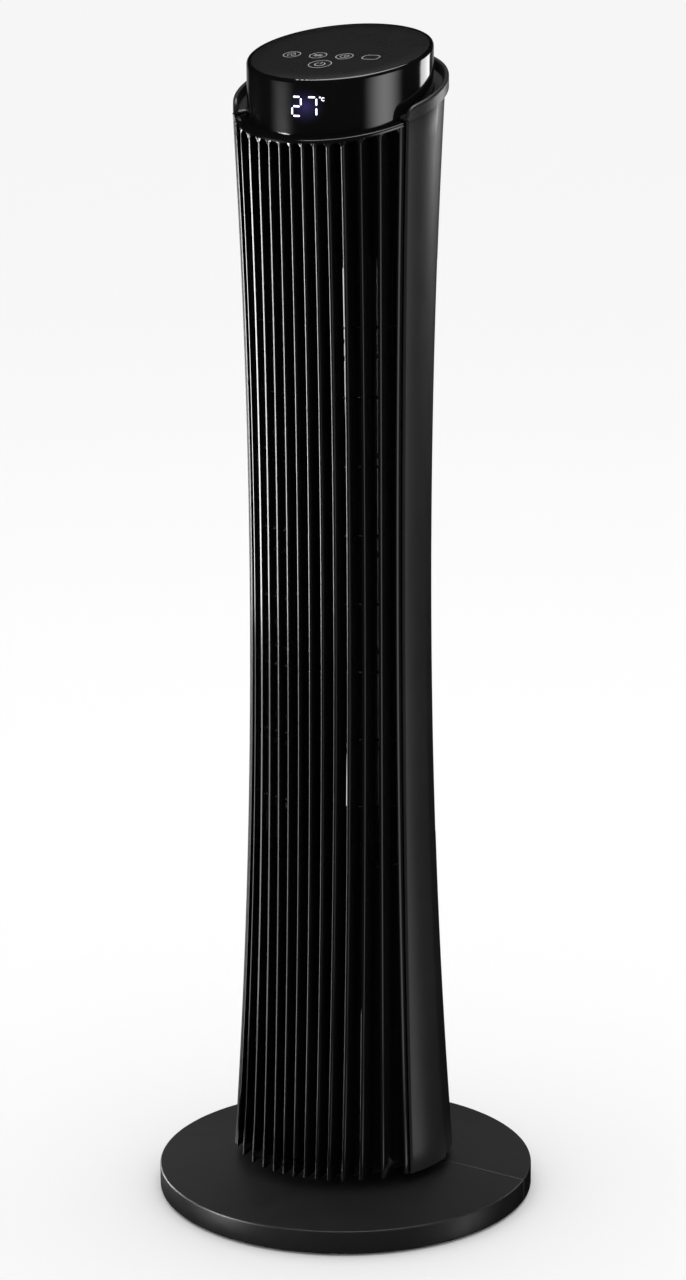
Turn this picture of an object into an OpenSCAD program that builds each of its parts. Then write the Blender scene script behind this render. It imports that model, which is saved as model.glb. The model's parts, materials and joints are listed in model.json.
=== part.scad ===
// Tower fan on a round base. Millimetres, +Z up, front towards -Y,
// origin on the floor under the tower axis.

/* [Tower] */
// Radius of the tower at its waist
waist_r = 71.1; // [70:0.1:73]
// Height of the waist above the floor
waist_z = 510; // [495:1:525]
// Arc radius of the side profile below the waist
low_arc_r = 6500; // [6200:50:8000]
// Arc radius of the side profile above the waist
top_arc_r = 7000; // [6600:50:8500]
// Height of the tower's lower edge above the floor
tower_z = 36; // [35.5:0.5:37]
// Height of the sloping shoulder, measured on the axis
shoulder_z = 872.6; // [868:0.2:876]
// Slope of the shoulder, front low
shoulder_tilt = 16; // [14:0.5:17]
// Casing wall thickness
wall = 3; // [2.6:0.1:3.2]

/* [Grille] */
// Spacing of the middle fins
fin_pitch = 9.5; // [9.2:0.1:9.6]
// Thickness of a fin
fin_t = 2.4; // [1.8:0.1:3]
// Depth of a fin from front to back
fin_depth = 20; // [16:0.5:21]
// Half width of the grille at the waist
edge_half_w = 63; // [62.5:0.1:64]
// Lower end of the air outlet
window_z0 = 284; // [283:0.5:286]
// Upper end of the air outlet
window_z1 = 761; // [760:0.5:762]

/* [Head] */
// Radius of the control head
head_r = 70.4; // [69:0.1:70.6]
// Height of the head's top face, measured on the axis
head_z = 908.8; // [905:0.2:912]
// Slope of the head's top face, front low
head_tilt = 12.5; // [11:0.5:14]
// Height of the display digits, between stroke centres
digit_h = 14; // [12:0.5:16]

/* [Base] */
// Radius of the round base
base_r = 150; // [145:1:160]
// Height of the base rim above the floor
rim_z = 20.5; // [19:0.5:22]
// Height of the base top under the tower
crown_z = 28.2; // [28:0.1:28.4]
// Angle from the tower's front to the base's front at rest
base_turn = 6; // [0:1:10]

/* [Air path] */
// Radius of the impeller rings
impeller_r = 44; // [42:0.5:44.5]
// Number of blades in one segment
blades = 24; // [16:1:30]
// Height of one impeller segment
segment_h = 77; // [75:0.5:77]

/* [Swing drive] */
// Swing of the tower to each side of the base's middle
swing = 40; // [30:1:45]
// Height of the swing gears
gear_h = 5; // [4:0.5:6]

/* [Hidden] */
feet = 4;
segments = 6;
$fn = 96;

// profile steps up the tower
steps = 14;
big = 400;
gap = 0.3;
edge_spread = 0.72;
edge_step = 6.5;
straight_k = 2.5;
inner_fins = [for (i = [-6:5]) i + 0.5];

// levels
post_flange_z = crown_z + 4;
washer_z = post_flange_z + 1.5;
hub_z1 = 50;
ring_z0 = hub_z1 + 0.1;
gear_z0 = ring_z0 + 3;
foot_plate_z = 38;
motor_z0 = 205;
motor_z1 = 276;
motor_r = 40;
plate_z = window_z0;
plate_t = 3;
impeller_z0 = 296;
impeller_z1 = impeller_z0 + segments * segment_h;
roof_z = 764;
tray_drop = 4;
tray_t = 3;
collar_h = 9.8;

// bearings and shafts
post_r = 22;
post_bore_r = 12;
// circles on which the screws of the post's flange and of its top stand
post_screw_r = 46;
ring_screw_r = 17;
shaft_r = 4;
stub_r = 3;
run_gap = 0.04;
fit_gap = 0.02;

// swing gears: tooth size, teeth of the full ring and of the pinion
gear_module = 1;
ring_teeth = 60;
pinion_teeth = 12;
ring_pitch_r = gear_module * ring_teeth / 2;
pinion_pitch_r = gear_module * pinion_teeth / 2;
pinion_y = ring_pitch_r + pinion_pitch_r;
pressure_angle = 20;
backlash = 0.16;

// side profile of the tower: two arcs that meet at the waist
function body_r(z) =
  let (arc = z < waist_z ? low_arc_r : top_arc_r)
  waist_r + arc - sqrt(arc * arc - pow(z - waist_z, 2));

// half width of the grille opening at height z
function edge_x(z) = edge_half_w + edge_spread * (body_r(z) - waist_r);

// share of the grille's spread that fin position k takes: the middle fins stay straight
function spread_share(k) =
  pow(max(abs(k) - straight_k, 0) / (edge_step - straight_k), 1.6) * sign(k);

function fin_x(k, z) =
  fin_pitch * k + (edge_x(z) - edge_step * fin_pitch) * spread_share(k);

body_z1 = 930;
levels = [for (i = [0:steps]) tower_z + (body_z1 - tower_z) * i / steps];

function side_points(off) = [for (z = levels) [body_r(z) + off, z]];

function backwards(list) = [for (i = [len(list) - 1:-1:0]) list[i]];

// angles run from the front (-Y) towards +X
function around(r, a) = [r * sin(a), -r * cos(a)];

// the tower's outer form, grown by off, and carried on past its ends by ext
module turned_body(off = 0, ext = 0) {
  low = [body_r(tower_z) + off, tower_z - ext];
  top = [body_r(body_z1) + off, body_z1 + ext];
  ends = ext > 0 ? [[low], [top]] : [[], []];
  rotate_extrude()
    polygon(concat([[0, low[1]]], ends[0], side_points(off), ends[1], [[0, top[1]]]));
}

// a wall of thickness t under that form, from angle a0 to a1
module turned_shell(off, t, a0, a1) {
  rotate_extrude(angle = a1 - a0, start = a0 - 90)
    polygon(concat(side_points(off), backwards(side_points(off - t))));
}

// keeps what lies between two heights
module between(z0, z1) {
  intersection() {
    children();
    translate([0, 0, z0])
      cylinder(r = 130, h = z1 - z0);
  }
}

// ring sector between two radii, from angle a0 to a1
module ring_sector(r0, r1, h, a0, a1) {
  rotate_extrude(angle = a1 - a0, start = a0 - 90)
    translate([r0, 0])
      square([r1 - r0, h]);
}

module tube(r0, r1, h) {
  difference() {
    cylinder(r = r1, h = h);
    translate([0, 0, -1])
      cylinder(r = r0, h = h + 2);
  }
}

// what lies between two parallel sloping planes, heights taken on the axis
module slab(z0, z1, tilt) {
  translate([0, 0, z1])
    rotate([tilt, 0, 0])
      translate([-big / 2, -big / 2, (z0 - z1) * cos(tilt)])
        cube([big, big, (z1 - z0) * cos(tilt)]);
}

// keeps what lies below a sloping plane
module below(z, tilt) {
  difference() {
    children();
    slab(z, z + 140, tilt);
  }
}

// upright strip that follows fin position k, from dx0 to dx1 beside it
module fin_strip(k, dx0, dx1) {
  rows = abs(k) > straight_k ? levels : [tower_z, body_z1];
  left = [for (z = rows) [fin_x(k, z) + dx0, z]];
  right = [for (z = rows) [fin_x(k, z) + dx1, z]];
  rotate([90, 0, 0])
    linear_extrude(100)
      polygon(concat(left, backwards(right)));
}

// the width between the grille's edges, drawn in by inset at each side
module front_span(inset) {
  left = [for (z = levels) [inset - edge_x(z), z]];
  right = [for (z = levels) [edge_x(z) - inset, z]];
  rotate([90, 0, 0])
    linear_extrude(100)
      polygon(concat(left, backwards(right)));
}

// the layer that the grille fills, of depth d behind the tower's front
module front_layer(d) {
  difference() {
    turned_body();
    translate([0, d, 0])
      turned_body(ext = 5);
  }
}

// ---------------------------------------------------------------- base

module base_half(turn) {
  rotate([0, 0, base_turn + turn])
    difference() {
      rotate_extrude(angle = 179.86, start = -179.93)
        polygon([[24.3, crown_z], [90, crown_z], [base_r - 2, rim_z], [base_r, rim_z - 2],
          [base_r, 2], [base_r - wall, 2], [base_r - wall, rim_z - 3], [90, crown_z - wall],
          [24.3, crown_z - wall]]);
      for (a = [-45, 45])
        translate(concat(around(post_screw_r, a), [0]))
          cylinder(r = 2.2, h = 40);
    }
}

module base_ribs(turn) {
  for (a = [-75:30:75])
    rotate([0, 0, base_turn + turn + a - 90])
      rotate([90, 0, 0])
        translate([0, 0, -1])
          linear_extrude(2)
            polygon([[88, 4], [base_r - wall / 2, 4], [base_r - wall / 2, rim_z - 4],
              [90, crown_z - wall / 2], [88, crown_z - wall / 2]]);
}

module base_front_half() {
  color("#1d1d1f") {
    base_half(0);
    base_ribs(0);
    foot_bosses(0);
  }
}

module base_rear_half() {
  color("#1d1d1f")
    difference() {
      union() {
        base_half(180);
        base_ribs(180);
        foot_bosses(180);
      }
      translate([0, 0, inlet_z])
        rotate([-90, 0, base_turn + inlet_a])
          cylinder(r = inlet_r, h = base_r + 5);
    }
}

foot_ring_r = 128;

// cord inlet in the rear half: radius, height, and angle from the half's middle
inlet_r = 5.2;
inlet_z = 9;
inlet_a = 8;

module foot_bosses(turn) {
  for (a = [-45, 45])
    translate(concat(around(foot_ring_r, base_turn + turn + a), [2.2]))
      cylinder(r = 11, h = rim_z - wall + 0.2);
}

module rubber_foot(i) {
  color("#101010")
    translate(concat(around(foot_ring_r, base_turn + 45 + 90 * i), [0]))
      union() {
        cylinder(r1 = 8.5, r2 = 9.5, h = 1.2);
        translate([0, 0, 1.2])
          cylinder(r = 9.5, h = 1);
      }
}

module pivot_post() {
  color("#2a2a2c")
    difference() {
      union() {
        translate([0, 0, 12])
          cylinder(r = 24, h = crown_z - 12);
        translate([0, 0, crown_z])
          cylinder(r = 58, h = post_flange_z - crown_z);
        translate([0, 0, crown_z])
          cylinder(r = post_r, h = ring_z0 - crown_z);
      }
      cylinder(r = post_bore_r, h = 80);
      for (a = [-45:90:225])
        translate(concat(around(post_screw_r, base_turn + a), [crown_z - 1]))
          cylinder(r = 1.8, h = 4);
      for (a = [0:120:240])
        translate(concat(around(ring_screw_r, base_turn + a), [ring_z0 - 9]))
          cylinder(r = 1.55, h = 10);
    }
}

module base_lock_nut() {
  color("#3a3a3d")
    translate([0, 0, crown_z - wall - 7])
      difference() {
        cylinder(r = 37, h = 7);
        translate([0, 0, -1])
          cylinder(r = 24.05, h = 9);
        for (a = [0:30:330])
          translate(concat(around(38.5, a), [-1]))
            cylinder(r = 4, h = 9);
      }
}

module base_screws() {
  color("#b8b8bc")
    for (a = [-45:90:225])
      translate(concat(around(post_screw_r, base_turn + a), [crown_z - wall - 2.4])) {
        cylinder(r = 4, h = 2.4);
        translate([0, 0, 2.4])
          cylinder(r = 1.7, h = wall + 2.6);
      }
}

module swivel_washer() {
  color("#1b1b1d")
    translate([0, 0, post_flange_z])
      tube(post_r + 0.5, 56, washer_z - post_flange_z);
}

module retaining_ring() {
  color("#8e8e92")
    translate([0, 0, ring_z0])
      difference() {
        tube(post_bore_r, 28.5, 3);
        for (a = [0:120:240])
          translate(concat(around(ring_screw_r, base_turn + a), [-1]))
            cylinder(r = 1.7, h = 6);
      }
}

// angle that an involute has turned through where its unrolled angle is t
function involute_turn(t) = t - atan(t * PI / 180);

// half the tooth angle at radius r, with the backlash taken off
function half_tooth(r, rb, rp, teeth) =
  let (t = sqrt(max(pow(r / rb, 2) - 1, 0)) * 180 / PI)
  let (tp = tan(pressure_angle) * 180 / PI)
  90 / teeth - backlash / 4 / rp * 180 / PI + involute_turn(tp) - involute_turn(t);

function tooth_points(teeth, r_tip, r_root, i) =
  let (rp = gear_module * teeth / 2)
  let (rb = rp * cos(pressure_angle))
  let (r0 = max(r_root, rb))
  let (radii = [for (s = [0:3]) r0 + (r_tip - r0) * s / 3])
  let (a = 360 / teeth * i)
  concat(
    [around(r_root, a - half_tooth(r0, rb, rp, teeth))],
    [for (r = radii) around(r, a - half_tooth(r, rb, rp, teeth))],
    [for (r = backwards(radii)) around(r, a + half_tooth(r, rb, rp, teeth))],
    [around(r_root, a + half_tooth(r0, rb, rp, teeth))]);

// teeth of the sector to each side of its middle
sector_half = ceil(swing * ring_teeth / 360) + 1;
tip_short = 0.85;
root_deep = 1.25;

module sector_gear() {
  r_tip = ring_pitch_r + tip_short * gear_module;
  r_root = ring_pitch_r - root_deep * gear_module;
  teeth = [for (i = [-sector_half:sector_half]) each tooth_points(ring_teeth, r_tip, r_root, i)];
  a_end = 360 / ring_teeth * (sector_half + 0.5);
  plate = [for (a = [a_end:10:360 - a_end]) around(r_root - 2, a)];
  color("#e8e6df")
    translate([0, 0, gear_z0])
      rotate([0, 0, 180 + base_turn])
        difference() {
          linear_extrude(gear_h)
            polygon(concat(teeth, plate));
          translate([0, 0, -1])
            cylinder(r = post_bore_r, h = gear_h + 2);
          for (a = [180:120:420])
            translate(concat(around(ring_screw_r, a), [-1]))
              cylinder(r = 1.7, h = gear_h + 2);
        }
}

module gear_screws() {
  color("#b8b8bc")
    for (a = [0:120:240])
      translate(concat(around(ring_screw_r, base_turn + a), [gear_z0 + gear_h - 16])) {
        cylinder(r = 1.5, h = 16);
        translate([0, 0, 16])
          cylinder(r = 2.8, h = 2);
      }
}

module cord_grommet() {
  color("#101010")
    rotate([0, 0, base_turn + inlet_a])
      translate([0, base_r - 7, inlet_z])
        rotate([-90, 0, 0])
          difference() {
            union() {
              cylinder(r = inlet_r - 0.1, h = 6.7);
              translate([0, 0, 1.2])
                cylinder(r = inlet_r + 1.4, h = 2.3);
            }
            translate([0, 0, -1])
              cylinder(r = 3.4, h = 12);
          }
}

// --------------------------------------------------------- tower casing

screw_x = 30;
// depth of the blocks that the shell screws go into
block_d = 10;
boss_r = 5;
screw_rows = [48, plate_z + plate_t / 2 + 8, roof_z + 12];

// inside face of the rear shell, where its screw bosses end
function boss_y(z) = sqrt(pow(body_r(z) - 2 - wall, 2) - pow(screw_x + 5, 2)) - 5;

module inside_outline(z, h, off) {
  translate([0, 0, z])
    intersection() {
      cylinder(r = body_r(z) + off, h = h);
      translate([0, fin_depth, 0])
        cylinder(r = body_r(z) + off + 2, h = h);
    }
}

module tower_foot() {
  color("#202022") {
    difference() {
      union() {
        inside_outline(foot_plate_z, 3, -5.8);
        translate([0, 0, washer_z + 0.05])
          cylinder(r = 32, h = hub_z1 - washer_z - 0.05);
        for (x = [-29, 29])
          translate([x, pinion_y, foot_plate_z])
            cylinder(r = 4, h = 24);
        for (x = [-36, 36])
          for (y = [-24, 22])
            translate([x, y, foot_plate_z])
              cylinder(r = 3.5, h = 58);
        between(foot_plate_z + 1, 56)
          turned_shell(-5.8, 2.4, 95, 265);
        for (x = [-screw_x, screw_x])
          translate([x - 4.5, boss_y(screw_rows[0]) - block_d, foot_plate_z])
            cube([9, block_d - gap, screw_rows[0] - foot_plate_z + 5]);
      }
      translate([0, 0, 30])
        cylinder(r = post_r + run_gap, h = 30);
      screw_holes(screw_rows[0]);
      for (x = [-screw_x, screw_x])
        translate([x, boss_y(screw_rows[0]) - gap / 2, screw_rows[0]])
          rotate([-90, 0, 0])
            cylinder(r = boss_r + gap, h = 30);
    }
  }
}

module screw_holes(z) {
  for (x = [-screw_x, screw_x])
    translate([x, boss_y(z) - 10, z])
      rotate([-90, 0, 0])
        cylinder(r = 1.55, h = 20);
}

slot_rows = 6;
slot_w = 3.6;
slot_gap_z = 12;
intake_z0 = 296;
intake_z1 = 752;

module rear_shell() {
  slot_h = (intake_z1 - intake_z0 + slot_gap_z) / slot_rows - slot_gap_z;
  color("#1b1b1d")
    difference() {
      union() {
        difference() {
          below(shoulder_z, shoulder_tilt)
            turned_shell(-2, wall, 90.1, 269.9);
          for (a = [111:6:249])
            for (row = [0:slot_rows - 1])
              rotate([0, 0, a])
                translate([-slot_w / 2, -90, intake_z0 + row * (slot_h + slot_gap_z)])
                  cube([slot_w, 40, slot_h]);
        }
        intersection() {
          for (z = screw_rows)
            for (x = [-screw_x, screw_x])
              translate([x, boss_y(z), z])
                rotate([-90, 0, 0])
                  cylinder(r = boss_r, h = 40);
          turned_body(-2 - wall / 2);
        }
      }
      for (z = screw_rows)
        for (x = [-screw_x, screw_x])
          translate([x, boss_y(z) - 1, z])
            rotate([-90, 0, 0]) {
              cylinder(r = 1.8, h = 30);
              translate([0, 0, 5])
                cylinder(r = 3.7, h = 40);
            }
      handle_opening(0);
    }
}

handle_z0 = 814;
handle_z1 = 856;
handle_half_w = 34;
handle_y = 46;
cup_wall = 2;

module handle_opening(grow) {
  translate([-handle_half_w - grow, handle_y - grow, handle_z0 - grow])
    cube([2 * (handle_half_w + grow), 50, handle_z1 - handle_z0 + 2 * grow]);
}

module handle_cup() {
  color("#161617")
    intersection() {
      difference() {
        handle_opening(-gap);
        handle_opening(-gap - cup_wall);
      }
      turned_body(-2.2);
    }
}

module side_panel() {
  color("#2b2b2d")
    difference() {
      union() {
        turned_shell(0, wall, 50, 89.9);
        intersection() {
          fin_strip(edge_step, 0, 2.6);
          front_layer(12);
        }
      }
      fin_strip(edge_step, -40, gap);
      slab(shoulder_z, shoulder_z + 140, shoulder_tilt);
    }
}

module side_panel_right() {
  side_panel();
}

module side_panel_left() {
  mirror([1, 0, 0])
    side_panel();
}

rib_z0 = 333.5;
rib_pitch = 53.5;
ribs = 8;
rib_in = 0.8;
band_h = 5;
ledge_r = head_r + 0.5;

module front_grille() {
  color("#0c0c0e") {
    below(shoulder_z - 1, shoulder_tilt)
      intersection() {
        union() {
          for (k = inner_fins)
            fin_strip(k, -fin_t / 2, fin_t / 2);
          for (k = [-edge_step, edge_step])
            fin_strip(k, k < 0 ? 0 : -fin_t, k < 0 ? fin_t : 0);
        }
        difference() {
          front_layer(fin_depth);
          head_room();
        }
      }
    intersection() {
      grille_top();
      slab(shoulder_z - band_h, shoulder_z, shoulder_tilt);
      front_span(0);
    }
    for (i = [0:ribs - 1])
      outlet_rib(rib_z0 + i * rib_pitch);
  }
}

// the space that the head and its tray take
module head_room() {
  intersection() {
    cylinder(r = ledge_r, h = 1000);
    slab(shoulder_z - tray_drop - tray_t - gap, shoulder_z + 100, shoulder_tilt);
  }
}

// band over the fins, with a ledge that reaches in to the head
module grille_top() {
  difference() {
    turned_body();
    turned_body(-wall, 5);
  }
  intersection() {
    difference() {
      turned_body(-wall / 2);
      cylinder(r = ledge_r, h = 1000);
    }
    slab(shoulder_z - 2.5, shoulder_z, shoulder_tilt);
  }
}

// rib across the fins, rib_in in front of their back edges
module outlet_rib(z) {
  r = body_r(z);
  half = asin((edge_x(z) - 2.8) / r);
  translate([0, fin_depth, z - 1])
    ring_sector(r + rib_in, r + rib_in + 2, 2, -half, half);
}

// curved panel that closes the grille from behind
module shroud() {
  intersection() {
    translate([0, fin_depth + gap, 0])
      difference() {
        turned_body(-0.4, 5);
        turned_body(-2.6, 6);
      }
    front_span(1);
  }
}

module lower_shroud() {
  color("#0c0c0e")
    between(foot_plate_z + 3.2, window_z0 - 0.2)
      shroud();
}

module upper_shroud() {
  color("#0c0c0e")
    below(shoulder_z - 8, shoulder_tilt)
      between(window_z1, body_z1)
        shroud();
}

// wall whose radius grows evenly from r0 at angle a0 to r1 at angle a1
module spiral_wall(a0, r0, a1, r1, t, z0, z1) {
  n = 12;
  inner = [for (i = [0:n]) around(r0 + (r1 - r0) * i / n, a0 + (a1 - a0) * i / n)];
  outer = [for (i = [0:n]) around(r0 + t + (r1 - r0) * i / n, a0 + (a1 - a0) * i / n)];
  translate([0, 0, z0])
    linear_extrude(z1 - z0)
      polygon(concat(inner, backwards(outer)));
}

duct_z0 = plate_z + plate_t + 0.05;
duct_z1 = roof_z - 0.05;
tongue_r = impeller_r + 2.5;
duct_t = 2;
// where the duct walls end beside the outlet
mouth_a = 71;
mouth_r = 57;

module scroll_wall() {
  color("#303134")
    spiral_wall(mouth_a, mouth_r, 150, tongue_r, duct_t, duct_z0, duct_z1);
}

module tongue_wall() {
  color("#303134") {
    spiral_wall(-108, tongue_r, -84, tongue_r, duct_t, duct_z0, duct_z1);
    spiral_wall(-84.1, tongue_r, -mouth_a, mouth_r, duct_t, duct_z0, duct_z1);
  }
}

harness_a = -85;
harness_r = 64.8;
damper_r = 46;
damper_angles = [35:90:305];

module motor_plate() {
  color("#303134")
    difference() {
      union() {
        inside_outline(plate_z, plate_t, -5.8);
        for (x = [-screw_x, screw_x])
          translate([x - 4.5, boss_y(screw_rows[1]) - block_d, plate_z])
            cube([9, block_d - gap, 14]);
      }
      translate([0, 0, plate_z - 1])
        cylinder(r = 14, h = plate_t + 2);
      for (a = damper_angles)
        translate(concat(around(damper_r, a), [plate_z - 1]))
          cylinder(r = 1.7, h = plate_t + 2);
      harness_hole(plate_z);
      screw_holes(screw_rows[1]);
    }
}

module harness_hole(z) {
  translate(concat(around(harness_r, harness_a), [z - 10]))
    cylinder(r = 3.6, h = 30);
}

pillar_places = [[-50, 12], [50, 12], [0, -44]];

module duct_roof() {
  color("#303134")
    difference() {
      union() {
        inside_outline(roof_z, plate_t, -5.8);
        below(shoulder_z - tray_drop - tray_t - 0.05, shoulder_tilt)
          for (p = pillar_places)
            translate([p[0], p[1], roof_z])
              cylinder(r = 5, h = 120);
        for (x = [-screw_x, screw_x])
          translate([x - 4.5, boss_y(screw_rows[2]) - block_d, roof_z])
            cube([9, block_d - gap, 17]);
        translate([0, 0, roof_z])
          cylinder(r = 16, h = 12);
      }
      translate([0, 0, roof_z - 1])
        cylinder(r = 12 + fit_gap, h = 20);
      harness_hole(roof_z);
      screw_holes(screw_rows[2]);
      for (p = pillar_places)
        translate([p[0], p[1], pillar_top(p) - 12])
          cylinder(r = 1.55, h = 20);
    }
}

// height of the tray's underside above a point
function pillar_top(p) = shoulder_z - tray_drop - tray_t + p[1] * tan(shoulder_tilt);

module bearing_holder() {
  color("#141414")
    translate([0, 0, roof_z + 0.5])
      tube(6 + fit_gap, 12, 10);
}

module top_bearing() {
  color("#b08d4a")
    translate([0, 0, roof_z + 1])
      tube(stub_r + run_gap, 6, 9);
}

// --------------------------------------------------------------- head

collar_out = 0.8;
// angle from the front to the collar's ends
collar_a = 62.8;
collar_floor = 2;

module top_collar() {
  color("#19191b")
    intersection() {
      union() {
        turned_shell(collar_out, wall + collar_out, collar_a, 360 - collar_a);
        intersection() {
          turned_shell(-wall / 2, 12, collar_a, 360 - collar_a);
          difference() {
            slab(shoulder_z, shoulder_z + 0.1 + collar_floor, shoulder_tilt);
            cylinder(r = ledge_r, h = 1000);
          }
        }
      }
      slab(shoulder_z + 0.1, shoulder_z + collar_h, shoulder_tilt);
    }
}

module head_tray() {
  color("#202022")
    difference() {
      intersection() {
        cylinder(r = head_r, h = 1000);
        slab(shoulder_z - tray_drop - tray_t, shoulder_z - tray_drop - 0.05, shoulder_tilt);
      }
      for (p = pillar_places)
        translate([p[0], p[1], 800])
          cylinder(r = 1.7, h = 100);
      translate(concat(around(harness_r, harness_a), [800]))
        cylinder(r = 3.6, h = 100);
    }
}

panel_r = head_r - 3;
head_wall = 2.5;

module head_shell() {
  color("#0b0b0d")
    difference() {
      intersection() {
        translate([0, 0, 800])
          cylinder(r = head_r, h = 200);
        slab(shoulder_z - tray_drop, shoulder_z + 150, shoulder_tilt);
        slab(head_z - 150, head_z, head_tilt);
      }
      intersection() {
        cylinder(r = head_r - head_wall, h = 1000);
        slab(head_z - 150, head_z - 5.2, head_tilt);
      }
      cylinder(r = panel_r - 4, h = 1000);
      intersection() {
        cylinder(r = head_r - head_wall, h = 1000);
        slab(head_z - 3.2, head_z + 20, head_tilt);
      }
      digit_strokes(0.03, 69.6);
    }
}

module touch_panel() {
  color("#3a3a3c")
    intersection() {
      cylinder(r = panel_r, h = 1000);
      slab(head_z - 3.15, head_z - 0.3, head_tilt);
    }
}

digit_z = 873.8;
digit_w = 7.3;
stroke = 1.5;
// half the space between the ends of neighbouring strokes
stroke_gap = 0.5;
// which strokes are lit: top, upper right, lower right, bottom, lower left, upper left, middle
digits = [[-3.2, [1, 1, 0, 1, 1, 0, 1]], [8.9, [1, 1, 1, 0, 0, 0, 0]]];

module bar(x, z, len, upright, grow) {
  w = stroke / 2 + grow;
  l = len / 2 - stroke_gap + grow;
  points = [[-l, 0], [-l + w, w], [l - w, w], [l, 0], [l - w, -w], [-l + w, -w]];
  translate([x, -60, z])
    rotate([90, upright ? 90 : 0, 0])
      linear_extrude(20)
        polygon(points);
}

module digit_strokes(grow, r0) {
  intersection() {
    union() {
      for (d = digits)
        for (i = [0:6])
          if (d[1][i] == 1)
            lit_bar(d[0], i, grow);
      bar(18.1, digit_z + digit_h / 2 + 0.3, 2.6, false, grow - 0.4);
      bar(16.9, digit_z + digit_h / 2 - 1.2, 2.6, true, grow - 0.4);
      bar(18.1, digit_z + digit_h / 2 - 2.7, 2.6, false, grow - 0.4);
      translate([15.1, -60, digit_z + digit_h / 2 + 0.2])
        rotate([90, 0, 0])
          cylinder(r = 0.6 + grow, h = 20);
    }
    difference() {
      cylinder(r = head_r + 0.02 + grow, h = 1000);
      cylinder(r = r0 - grow, h = 1000);
    }
  }
}

module lit_bar(x, i, grow) {
  half_w = digit_w / 2;
  half_h = digit_h / 2;
  if (i == 0)
    bar(x, digit_z + half_h, digit_w, false, grow);
  if (i == 1)
    bar(x + half_w, digit_z + half_h / 2, half_h, true, grow);
  if (i == 2)
    bar(x + half_w, digit_z - half_h / 2, half_h, true, grow);
  if (i == 3)
    bar(x, digit_z - half_h, digit_w, false, grow);
  if (i == 4)
    bar(x - half_w, digit_z - half_h / 2, half_h, true, grow);
  if (i == 5)
    bar(x - half_w, digit_z + half_h / 2, half_h, true, grow);
  if (i == 6)
    bar(x, digit_z, digit_w, false, grow);
}

module display_digits() {
  color("white")
    digit_strokes(0, 69.7);
}

module display_module() {
  color("#e8e6df")
    translate([-14, -62.4, digit_z - 11])
      cube([38, 6, 22]);
  color("#1f5c35")
    translate([-17, -56.4, digit_z - 12.5])
      cube([44, 1.6, 25]);
}

board_drop = 12;

module control_board() {
  color("#1f5c35")
    intersection() {
      difference() {
        cylinder(r = 58, h = 1000);
        translate([-80, -130, 0])
          cube([160, 80, 1000]);
      }
      slab(head_z - board_drop - 1.6, head_z - board_drop, head_tilt);
    }
}

// touch keys on the panel: four in a row and one in front of them
key_places = [[-34.4, -11.7], [-12.7, -11.7], [9, -11.7], [30.7, -11.7], [-2, -31.6]];

module touch_springs() {
  color("#c9a227")
    intersection() {
      for (p = key_places)
        translate([p[0], p[1], 850])
          tube(2.6, 4, 100);
      slab(head_z - board_drop + 0.02, head_z - 3.2, head_tilt);
    }
}

// ---------------------------------------------------- electrics and motor

module power_board() {
  color("#1f5c35")
    translate([-44, -32, 96.1])
      difference() {
        cube([88, 62, 1.6]);
        for (x = [8, 80])
          for (y = [8, 54])
            translate([x, y, -1])
              cylinder(r = 1.6, h = 4);
      }
  color("#2b4f81")
    translate([-34, -22, 97.7])
      cube([26, 24, 22]);
  color("#1a1a1a")
    translate([-2, -20, 97.7])
      cube([18, 14, 15]);
  color("#38383c")
    for (x = [0, 14])
      translate([x, 14, 97.7])
        cylinder(r = 5, h = 18);
}

case_t = 1.6;
stator_z0 = 222;
stator_h = 30;
stator_r = motor_r - case_t - 0.05;
case_split = 240;

module motor_case_lower() {
  color("#9a9a9e")
    difference() {
      translate([0, 0, motor_z0])
        cylinder(r = motor_r, h = case_split - motor_z0 - 0.05);
      translate([0, 0, motor_z0 + case_t])
        cylinder(r = motor_r - case_t, h = 60);
      translate([0, 0, motor_z0 - 1])
        cylinder(r = 9 + fit_gap, h = 5);
    }
}

module motor_case_upper() {
  color("#9a9a9e")
    difference() {
      union() {
        translate([0, 0, case_split])
          cylinder(r = motor_r, h = motor_z1 - case_split);
        for (a = damper_angles)
          rotate([0, 0, a - 90])
            translate([motor_r - 4, -6, motor_z1 - case_t])
              cube([damper_r - motor_r + 10, 12, case_t]);
      }
      translate([0, 0, case_split - 1])
        cylinder(r = motor_r - case_t, h = motor_z1 - case_split + 1 - case_t);
      translate([0, 0, motor_z1 - 3])
        cylinder(r = 9 + fit_gap, h = 5);
      for (a = damper_angles)
        translate(concat(around(damper_r, a), [motor_z1 - 3]))
          cylinder(r = 1.7, h = 5);
    }
}

module stator_core() {
  color("#6f7176")
    translate([0, 0, stator_z0])
      difference() {
        cylinder(r = stator_r, h = stator_h);
        translate([0, 0, -1])
          cylinder(r = 19.5, h = stator_h + 2);
        for (a = [0:45:315])
          translate(concat(around(27, a), [-1]))
            cylinder(r = 4.6, h = stator_h + 2);
      }
}

module motor_windings() {
  color("#b5651d")
    for (z = [stator_z0 - 8, stator_z0 + stator_h + 0.05])
      translate([0, 0, z])
        tube(22, 33, 7.9);
}

module motor_bushes() {
  color("#b08d4a")
    for (z = [motor_z0 - 3, motor_z1 - 8])
      translate([0, 0, z])
        tube(shaft_r + run_gap, 9, 11);
}

module motor_dampers() {
  color("#141414")
    for (a = damper_angles)
      translate(concat(around(damper_r, a), [motor_z1 + 0.02]))
        tube(1.7, 6, plate_z - motor_z1 - 0.04);
}

module run_capacitor() {
  color("#d8d8d2")
    translate([-20, 46.5, plate_z - 30])
      cube([40, 14, 29.9]);
}

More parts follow.
